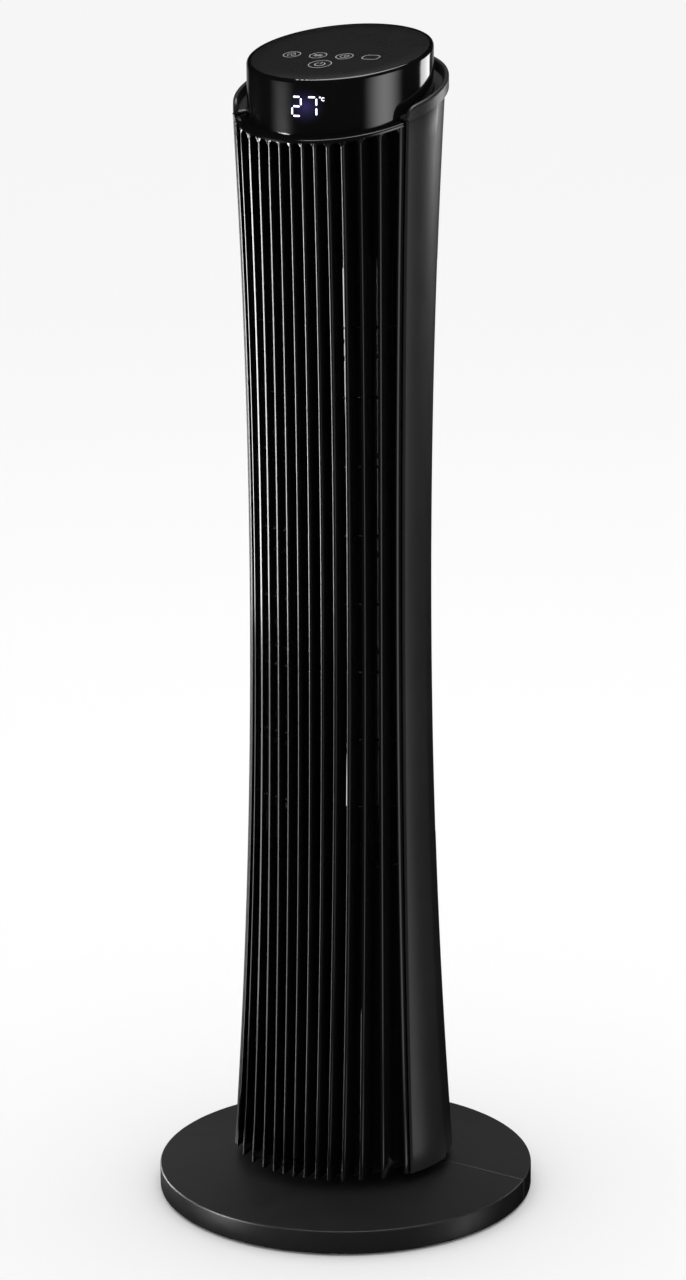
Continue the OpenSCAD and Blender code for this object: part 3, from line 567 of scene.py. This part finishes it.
def makeHandleCutter():
    # a block with round corners as seen from behind
    low, high = rearShell["handleBottom"], rearShell["handleTop"]
    middleY, depth = rearShell["handleCut"]
    deselectAll()
    bpy.ops.mesh.primitive_cube_add(size=1, location=(0, middleY * mm, (low + high) / 2 * mm))
    opening = bpy.context.object
    opening.scale = (2 * rearShell["handleHalf"] * mm, depth * mm, (high - low) * mm)
    bpy.ops.object.transform_apply(location=True, rotation=True, scale=True)
    activate(opening)
    bpy.ops.object.mode_set(mode="EDIT")
    bpy.ops.mesh.select_mode(type="EDGE")
    bpy.ops.mesh.select_all(action="DESELECT")
    bpy.ops.object.mode_set(mode="OBJECT")
    verts = opening.data.vertices
    for edge in opening.data.edges:
        way = verts[edge.vertices[0]].co - verts[edge.vertices[1]].co
        edge.select = abs(way.y) > 0.9 * way.length
    bpy.ops.object.mode_set(mode="EDIT")
    bpy.ops.mesh.bevel(offset=rearShell["handleCorner"] * mm, segments=6, affect="EDGES")
    bpy.ops.mesh.select_mode(type="VERT")
    bpy.ops.object.mode_set(mode="OBJECT")
    return opening


def makeScrewCutter(x, z):
    middleY, depth = rearShell["screwCut"]
    deselectAll()
    bpy.ops.mesh.primitive_cylinder_add(vertices=32, radius=rearShell["screwRadius"] * mm, depth=depth * mm,
                                        location=(x * mm, middleY * mm, z * mm),
                                        rotation=(math.radians(90), 0, 0))
    bpy.ops.object.transform_apply(location=True, rotation=True, scale=True)
    return bpy.context.object


def makeRearShell():
    angles, heights = rearCuts()
    lastLevel = len(heights) - 1
    lastRow = lastLevel + rearShell["topRows"]

    def rule(u, v):
        # level rows up to the last height, then rows that turn into the slope of the shoulder
        angle = angles[round(u * (len(angles) - 1))]
        row = round(v * lastRow)
        z = heights[min(row, lastLevel)]
        if row > lastLevel:
            z += (shoulderAt(angle, tower["rearInset"]) - z) * (row - lastLevel) / rearShell["topRows"]
        x, y = around(towerRadius(z) - tower["rearInset"], angle)
        return x, y, z

    shell = wrapGrid("rear_shell_casing", len(angles) - 1, lastRow, rule)
    faceOutward(shell)
    slotAngles = [(angles[i], angles[i + 1]) for i in range(6, len(angles) - 6, 2)]
    activate(shell)
    bpy.ops.object.mode_set(mode="EDIT")
    bpy.ops.mesh.select_all(action="DESELECT")
    bpy.ops.object.mode_set(mode="OBJECT")
    for face in shell.data.polygons:
        x, y, z = [c / mm for c in face.center]
        turn = math.degrees(math.atan2(x, -y)) % 360
        inColumn = any(a < turn < b for a, b in slotAngles)
        into = (z - rearShell["slotBottom"]) % slotPitch()
        inRow = into < slotPitch() - rearShell["slotGap"]
        face.select = inColumn and inRow and rearShell["slotBottom"] < z < rearShell["slotTop"]
    bpy.ops.object.mode_set(mode="EDIT")
    bpy.ops.mesh.select_mode(type="FACE")
    bpy.ops.mesh.delete(type="FACE")
    bpy.ops.mesh.select_mode(type="VERT")
    bpy.ops.object.mode_set(mode="OBJECT")
    thicken(shell, tower["wall"])
    cutters = [makeHandleCutter()]
    for z in rearShell["screwHeights"]:
        cutters += [makeScrewCutter(x, z) for x in (-rearShell["screwX"], rearShell["screwX"])]
    cutter = joinPieces(cutters, "rearCutters")
    cut = shell.modifiers.new("cut", "BOOLEAN")
    cut.operation = "DIFFERENCE"
    cut.solver = "EXACT"
    cut.object = cutter
    activate(shell)
    bpy.ops.object.modifier_apply(modifier="cut")
    bpy.data.objects.remove(cutter)
    smoothByAngle(shell, 30)
    finishPiece(shell, "tower", "rear_plastic", "rear_shell")
    print("rear shell made:", len(shell.data.polygons), "faces")


makeRearShell()


collar = {"out": 0.8, "wall": 3, "height": 9.8, "floor": 2, "ends": 62.8, "corner": 8, "drop": 7,
          "crest": 1.4, "steps": 96}


def makeCollar():
    # a rolled rim on a sloping ring that is open at the front, lower towards its two ends
    crest = collar["crest"]
    section = [("out", 0.1), ("out", 0.45), ("out", 0.8)]
    section += [("crest", a) for a in (0, 30, 60, 90, 120, 150, 180)]
    section += [("in", 0.6), ("floorEdge", 0), ("floorIn", 0), ("under", 0)]

    def rule(u, v):
        kind, value = section[round(u * len(section)) % len(section)]
        ease = 0.5 - 0.5 * math.cos(math.pi * v)  # closer rows near the ends
        angle = collar["ends"] + (360 - 2 * collar["ends"]) * (0.35 * v + 0.65 * ease)
        base = shoulderAt(angle)
        radius = towerRadius(base) + collar["out"]
        fromEnd = min(angle - collar["ends"], 360 - collar["ends"] - angle) * math.pi / 180 * radius
        drop = 0
        if fromEnd < collar["corner"]:
            drop = collar["corner"] - math.sqrt(collar["corner"] ** 2 - (collar["corner"] - fromEnd) ** 2)
        crestTop = collar["height"] - min(drop, collar["drop"])
        inner = radius - collar["wall"] - collar["out"]
        middle = (radius + inner) / 2
        half = (radius - inner) / 2
        bow = min(crest, crestTop / 2)
        if kind == "out":
            r, dz = radius, 0.1 + (crestTop - bow - 0.1) * (value - 0.1) / 0.9
        elif kind == "crest":
            a = math.radians(value)
            r, dz = middle + half * math.cos(a), crestTop - bow + bow * math.sin(a)
        elif kind == "in":
            r, dz = inner, collar["floor"] + 0.1 + (crestTop - bow - collar["floor"]) * 0.4
        elif kind == "floorEdge":
            r, dz = inner, min(collar["floor"] + 0.1, crestTop - bow)
        elif kind == "floorIn":
            r, dz = grille["ledgeRadius"], min(collar["floor"] + 0.1, crestTop - bow)
        else:
            r, dz = grille["ledgeRadius"], 0.1
        x, y = around(r, angle)
        return x, y, shoulderHeight(y) + dz

    piece = wrapGrid("top_collar_rim", len(section), collar["steps"], rule, loop=True, caps=True)
    smoothByAngle(piece, 42)
    finishPiece(piece, "tower", "rear_plastic", "top_collar")


makeCollar()
print("collar made")


head = {"radius": 70.4, "top": 908.8, "topSlope": 12.5, "trayDrop": 4, "rim": 2.6, "wall": 2.5,
        "panelRadius": 67.4, "panelDrop": 0.35, "panelGap": 0.35, "steps": 192}


def headTop(y):
    return head["top"] + y * math.tan(math.radians(head["topSlope"]))


def makeHeadShell():
    r = head["radius"]
    rim = head["rim"]
    # (radius, blend from the lower plane at 0 to the upper plane at 1, offset)
    profile = [(r - head["wall"], 0, 0), (r - 0.4, 0, 0), (r - 0.1, 0, 0.15), (r, 0, 0.5)]
    profile += [(r, i / 8, 0.5 * (1 - i / 8) - rim * i / 8) for i in range(1, 9)]
    profile += [(r - rim * 0.72 * (1 - math.cos(a)), 1, -rim + rim * math.sin(a) * 0.98)
                for a in [math.radians(11.25 * i) for i in range(1, 9)]]
    inner = head["panelRadius"] + head["panelGap"]
    profile += [(inner + 0.5, 1, -0.02), (inner + 0.15, 1, -0.12), (inner, 1, -0.4), (inner, 1, -3.2),
                (head["panelRadius"] - 4, 1, -3.2), (head["panelRadius"] - 4, 1, -5.2),
                (r - head["wall"], 1, -5.2), (r - head["wall"], 0.5, -2.6)]

    def rule(u, v):
        radius, blend, offset = profile[round(u * len(profile)) % len(profile)]
        x, y = around(radius, 360 * v)
        low = shoulderHeight(y) - head["trayDrop"]
        return x, y, low + (headTop(y) - low) * blend + offset

    piece = wrapGrid("head_housing", len(profile), head["steps"], rule, loop=True)
    smoothByAngle(piece, 35)
    finishPiece(piece, "tower", "gloss_black", "head_shell")
    piece.data.materials[0] = finishes["head_gloss"]


def makeTouchPlate():
    # (radius, height over the head's top plane), from the middle below to the middle above
    r = head["panelRadius"]
    drop = head["panelDrop"]
    profile = [(0.01, -3.1), (r - 0.1, -3.1), (r, -3.0), (r, -drop - 0.35), (r - 0.12, -drop - 0.1),
               (r - 0.4, -drop), (r * 0.8, -drop), (r * 0.4, -drop), (0.01, -drop)]

    def rule(u, v):
        radius, offset = profile[round(u * (len(profile) - 1))]
        x, y = around(radius, 360 * v)
        return x, y, headTop(y) + offset

    piece = wrapGrid("touch_plate", len(profile) - 1, head["steps"], rule, loop=True)
    activate(piece)
    bpy.ops.object.mode_set(mode="EDIT")
    bpy.ops.mesh.select_all(action="SELECT")
    bpy.ops.mesh.remove_doubles(threshold=3e-5)  # closes the two middles
    bpy.ops.mesh.normals_make_consistent(inside=False)
    bpy.ops.object.mode_set(mode="OBJECT")
    smoothByAngle(piece, 30)
    finishPiece(piece, "tower", "touch_plate", "touch_panel")


makeHeadShell()
makeTouchPlate()
print("head made")


display = {"middle": 873.8, "height": 14, "width": 7.2, "stroke": 1.3, "gap": 1.6,
           "radius": 70.42, "proud": 0.03, "depth": 0.65, "two": -3.2, "seven": 8.9, "signLeft": 15.2}
keys = {"ring": 6.5, "line": 0.62, "height": 0.05, "row": -11.7, "columns": (-34.4, -12.7, 9, 30.7),
        "power": (-2, -31.6), "powerRing": 8.6, "dashRow": (-2.6, 1.2, 5.0)}


def onFront(x, z, out):
    # a spot on the head's round front wall
    r = display["radius"] + out
    return x, -math.sqrt(r * r - x * x), z


def onPanel(x, y, out):
    return x, y, headTop(y) - head["panelDrop"] + out


def makeRibbon(path, width, place, outer, inner, closed=False):
    # a thin strip along a path, with round ends unless it is closed;
    # outer and inner are the heights of its two faces over the surface
    stations = []
    half = width / 2
    last = len(path) - 1
    for i, (a, b) in enumerate(path):
        before = path[i - 1] if i > 0 else (path[last - 1] if closed else path[0])
        after = path[i + 1] if i < last else (path[1] if closed else path[last])
        way = Vector((after[0] - before[0], after[1] - before[1])).normalized()
        stations.append((Vector((a, b)), way, half))
    if not closed:
        start, wayIn = stations[0][:2]
        end, wayOut = stations[-1][:2]
        turns = [math.radians(t) for t in (12, 35, 60)]
        lead = [(start - wayIn * half * math.cos(t), wayIn, half * math.sin(t)) for t in turns]
        tail = [(end + wayOut * half * math.cos(t), wayOut, half * math.sin(t)) for t in reversed(turns)]
        stations = lead + stations + tail
    corners = [(-1, outer), (1, outer), (1, inner), (-1, inner)]

    def rule(u, v):
        side, out = corners[round(u * 4) % 4]
        spot, way, reach = stations[round(v * (len(stations) - 1))]
        return place(spot.x - way.y * side * reach, spot.y + way.x * side * reach, out)

    return wrapGrid("ribbon", 4, len(stations) - 1, rule, loop=True, caps=not closed)


def straight(x0, y0, x1, y1):
    # a line of four points
    return [(x0 + (x1 - x0) * i / 3, y0 + (y1 - y0) * i / 3) for i in range(4)]


def makeDigits():
    h, w, gap = display["height"] / 2, display["width"] / 2, display["gap"]
    mid, depth, stroke = display["middle"], display["depth"], display["stroke"]
    flat, tall = w - gap, h / 2 - gap
    marks = []
    for x, level in [(display["two"], h), (display["two"], 0), (display["two"], -h), (display["seven"], h)]:
        marks.append(straight(x - flat, mid + level, x + flat, mid + level))
    for x, level in [(display["two"] + w, h / 2), (display["two"] - w, -h / 2),
                     (display["seven"] + w, h / 2), (display["seven"] + w, -h / 2)]:
        marks.append(straight(x, mid + level - tall, x, mid + level + tall))
    proud = display["proud"]
    strokes = [makeRibbon(mark, stroke, onFront, proud, -depth) for mark in marks]
    left, top = display["signLeft"], mid + h
    degree = arcPoints(left, top, 0.5, 0, 360, 13)
    letter = arcPoints(left + 2.3, top - 1.3, 1.15, 48, 312, 13)
    strokes.append(makeRibbon(degree, 0.35, onFront, proud, -depth, True))
    strokes.append(makeRibbon(letter, 0.5, onFront, proud, -depth))
    finishPiece(joinPieces(strokes, "display_strokes"), "tower", "display_light", "display_digits")


def makeKeyPrints():
    # each path with its line's width, and whether it is closed
    line, r = keys["line"], keys["ring"]
    paths = []
    for x in keys["columns"][:3]:
        paths.append((arcPoints(x, keys["row"], r, 0, 360, 49), line, True))
    fan, swing, timer, mode = keys["columns"]
    row = keys["row"]
    for turn in (90, 210, 330):
        bladeX, bladeY = fan + 1.9 * math.cos(math.radians(turn)), row + 1.9 * math.sin(math.radians(turn))
        paths.append((arcPoints(bladeX, bladeY, 1.7, turn - 150, turn + 60, 11), line, False))
    across = [-3.4 + 6.8 * i / 14 for i in range(15)]
    for level in (-1.5, 0, 1.5):
        wave = [(swing + t, row + level + 0.7 * math.sin(t * 1.6)) for t in across]
        paths.append((wave, line, False))
    paths.append((arcPoints(timer, row, 3.2, 0, 360, 33), line, True))
    paths.append(([(timer, row + 2.0), (timer, row + 1), (timer, row)], line, False))
    paths.append(([(timer, row), (timer + 0.8, row - 0.5), (timer + 1.6, row - 1)], line, False))
    corner, side = 3.6, r
    outline = []
    for cx, cy, start in [(side - corner, 1.2, 0), (corner - side, 1.2, 90),
                          (corner - side, -1.2, 180), (side - corner, -1.2, 270)]:
        outline += arcPoints(mode + cx, row + cy, corner, start, start + 90, 8)
    paths.append((outline + outline[:1], line, True))
    x, y = keys["power"]
    paths.append((arcPoints(x, y, keys["powerRing"], 0, 360, 57), line, True))
    paths.append((arcPoints(x, y - 0.3, 3.8, 125, 415, 25), line * 1.3, False))
    paths.append(([(x, y + 4.6), (x, y + 2.8), (x, y + 1)], line * 1.3, False))
    prints = [makeRibbon(path, width, onPanel, keys["height"], 0.01, closed) for path, width, closed in paths]
    piece = joinPieces(prints, "key_prints")
    finishPiece(piece, "tower", "touch_plate")
    piece.data.materials[0] = finishes["key_print"]


def makeRimDashes():
    # three small marks on the front of the housing's rim
    def onRim(x, up, out):
        r = head["radius"] - 0.9 + out
        y = -math.sqrt(r * r - x * x)
        return x, y, headTop(y) + up - 0.2

    dashes = [makeRibbon(straight(x - 1.1, 0, x + 1.1, 0), 0.45, onRim, 0.25, -0.1) for x in keys["dashRow"]]
    piece = joinPieces(dashes, "rim_marks")
    finishPiece(piece, "tower", "touch_plate")
    piece.data.materials[0] = finishes["key_print"]


makeDigits()
makeKeyPrints()
makeRimDashes()
print("display and key prints made")


base = {"radius": 150, "rimHeight": 20.5, "crownRadius": 90, "crown": 28.2, "hole": 24.3, "bottom": 2,
        "wall": 3, "turn": 6, "seamHalf": 0.07, "edge": 1.6, "seamBevel": 0.5, "rows": 98}


def baseProfile():
    r, rim, edge = base["radius"], base["rimHeight"], base["edge"]
    points = [(base["hole"], base["crown"] - base["wall"]), (base["hole"], base["crown"])]
    points += [(50, base["crown"]), (80, base["crown"])]
    points += [(88, base["crown"] - 0.08), (94, base["crown"] - 0.6)]  # the crown's soft edge
    slope = (base["crown"] - rim) / (base["crownRadius"] - (r - edge))
    points += [(x, rim + slope * (x - (r - edge))) for x in (100, 115, 130, 144)]
    points += arcPoints(r - edge, rim - edge, edge, 90, 0, 7)
    points += [(r, 12), (r, 3.2)] + arcPoints(r - 1.2, base["bottom"] + 1.2, 1.2, 0, -90, 4)
    points += [(r - base["wall"], base["bottom"]), (r - base["wall"], rim - base["wall"]),
               (base["crownRadius"], base["crown"] - base["wall"])]
    return points


def makeBaseHalf(name, turn, node):
    # a half turn of the profile, with its edges eased along the seam
    points = baseProfile()
    rows = base["rows"]

    def rule(u, v):
        radius, z = points[round(u * len(points)) % len(points)]
        row = round(v * rows)
        span = 90 - base["seamHalf"]
        inset = 0
        if row in (0, rows):
            inset = base["seamBevel"] * 0.8
            angle = -span if row == 0 else span
        else:
            edge = math.degrees(base["seamBevel"] / radius)
            angle = -span + edge + (2 * span - 2 * edge) * (row - 1) / (rows - 2)
        if inset and radius > base["hole"] + 1:
            if radius >= base["radius"] - base["edge"] * 0.4:
                radius -= inset
            elif z > base["rimHeight"] - base["wall"] + 0.1:
                z -= inset
        x, y = around(radius, base["turn"] + turn + angle)
        return x, y, z

    piece = wrapGrid(name, len(points), rows, rule, loop=True, caps=True)
    smoothByAngle(piece, 30)
    finishPiece(piece, "base", "base_plastic", node)


makeBaseHalf("base_cover_front", 0, "base_front_half")
makeBaseHalf("base_cover_rear", 180, "base_rear_half")
print("base made")


studio = {"floorColor": (0.94, 0.94, 0.94), "floorSize": 300, "world": 0.98}  # the floor's side in metres

# soft lights that only the glossy surfaces see: direction round the tower in degrees from
# its front, distance, width, lower and upper end in metres, brightness, softness of the sides
cards = {
    "leftCard": (-50, 1.5, 0.60, 0.12, 0.60, 52, 0.6),
    "leftLowCard": (-50, 1.5, 0.60, -0.34, 0.12, 14, 0.6),
    "leftHeadCard": (-51, 1.5, 1.10, 0.66, 0.90, 0.75, 1.0),
    "rightHeadCard": (79, 1.5, 1.60, 0.62, 0.90, 3.9, 1.0),
    "rightCard": (98, 1.5, 0.90, -0.30, 0.60, 1.7, 1.0),
    "headRimCard": (152, 1.5, 0.80, 0.64, 0.90, 6, 0.3),
    "leftRimCard": (-106, 1.5, 0.80, 0.12, 0.62, 16, 0.5),
    "leftRimLowCard": (-106, 1.5, 0.80, -0.34, 0.12, 3, 0.5),
    "baseRimCard": (100, 1.5, 0.90, -0.85, -0.36, 2.6, 1.0),
    "backCard": (-155, 2.5, 3.20, 0.60, 1.50, 0.3, 0.5),
}


def makeFloor():
    deselectAll()
    bpy.ops.mesh.primitive_grid_add(x_subdivisions=8, y_subdivisions=8, size=studio["floorSize"])
    floor = bpy.context.object
    floor.name = "studioFloor"
    floor.visible_glossy = False
    material, _, _, shader = newMaterial("studioPaper")
    shader.inputs["Base Color"].default_value = (*studio["floorColor"], 1)
    shader.inputs["Roughness"].default_value = 0.9
    shader.inputs["Specular IOR Level"].default_value = 0
    floor.data.materials.append(material)


def makeWorld():
    # pale all round for the eye and for soft light, but dark in the glossy surfaces
    world = bpy.data.worlds.new("studioWorld")
    world.use_nodes = True
    backdrop = world.node_tree.nodes["Background"]
    backdrop.inputs["Color"].default_value = (1, 1, 1, 1)
    backdrop.inputs["Strength"].default_value = studio["world"]
    world.cycles_visibility.glossy = False
    bpy.context.scene.world = world


def makeLight(name, spot, target, size, power):
    data = bpy.data.lights.new(name, "AREA")
    data.shape = "RECTANGLE"
    data.size, data.size_y = size
    data.energy = power
    light = bpy.data.objects.new(name, data)
    bpy.context.scene.collection.objects.link(light)
    light.location = spot
    light.rotation_mode = "QUATERNION"
    light.rotation_quaternion = (Vector(target) - Vector(spot)).to_track_quat("-Z", "Y")
    light.visible_camera = False
    return light


def makeCard(name, azimuth, distance, width, low, high, glow, softness):
    # its power gives a brightness of glow over the card's area
    x, y = around(distance, azimuth)
    z = (low + high) / 2
    tall = high - low
    light = makeLight(name, (x, y, z), (0, 0, z), (width, tall), glow * math.pi * width * tall)
    light.visible_diffuse = False
    light.data.use_nodes = True
    nodes = light.data.node_tree.nodes
    links = light.data.node_tree.links
    place = nodes.new("ShaderNodeNewGeometry")
    split = nodes.new("ShaderNodeSeparateXYZ")
    links.new(place.outputs["Parametric"], split.inputs["Vector"])
    fromMiddle = nodes.new("ShaderNodeMath")
    fromMiddle.operation = "SUBTRACT"
    fromMiddle.inputs[1].default_value = 0.5
    links.new(split.outputs["X"], fromMiddle.inputs[0])
    aside = nodes.new("ShaderNodeMath")
    aside.operation = "ABSOLUTE"
    links.new(fromMiddle.outputs["Value"], aside.inputs[0])
    fade = nodes.new("ShaderNodeMapRange")
    fade.interpolation_type = "SMOOTHSTEP"
    fade.inputs["From Min"].default_value = 0.5
    fade.inputs["From Max"].default_value = 0.5 - 0.5 * softness
    fade.inputs["To Min"].default_value = 0
    fade.inputs["To Max"].default_value = 1
    links.new(aside.outputs["Value"], fade.inputs["Value"])
    links.new(fade.outputs["Result"], nodes["Emission"].inputs["Strength"])


# angles in degrees, distance from the tower's axis and height in metres, lens in millimetres
view = {"azimuth": 24.7, "distance": 2.741, "height": 1.1451, "pitch": 14.175, "roll": -0.287,
        "lens": 101.8, "film": 36}


def makeCamera():
    a, p, r = [math.radians(view[key]) for key in ("azimuth", "pitch", "roll")]
    ahead = Vector((-math.sin(a), math.cos(a), 0))
    right = Vector((math.cos(a), math.sin(a), 0))
    forward = ahead * math.cos(p) - Vector((0, 0, math.sin(p)))
    up = ahead * math.sin(p) + Vector((0, 0, math.cos(p)))
    rolledRight = right * math.cos(r) + up * math.sin(r)
    rolledUp = up * math.cos(r) - right * math.sin(r)
    data = bpy.data.cameras.new("camera")
    data.sensor_fit = "VERTICAL"
    data.sensor_height = view["film"]
    data.sensor_width = view["film"]
    data.lens = view["lens"]
    camera = bpy.data.objects.new("camera", data)
    bpy.context.scene.collection.objects.link(camera)
    spot = Vector((view["distance"] * math.sin(a), -view["distance"] * math.cos(a), view["height"]))
    turn = Matrix((rolledRight, rolledUp, -forward)).transposed()
    camera.matrix_world = Matrix.Translation(spot) @ turn.to_4x4()
    bpy.context.scene.camera = camera


makeFloor()
makeWorld()
overhead = makeLight("overhead", (0, 0.2, 3.0), (0, 0, 0), (2.5, 2.5), 12)
overhead.visible_glossy = False
rimLight = makeLight("rimLight", (0, 0.1, 2.4), (0, 0, 0.9), (1.3, 1.3), 34)
rimLight.visible_diffuse = False
for cardName, card in cards.items():
    makeCard(cardName, *card)
makeCamera()
print("studio ready")

bpy.context.scene.view_settings.view_transform = "Standard"
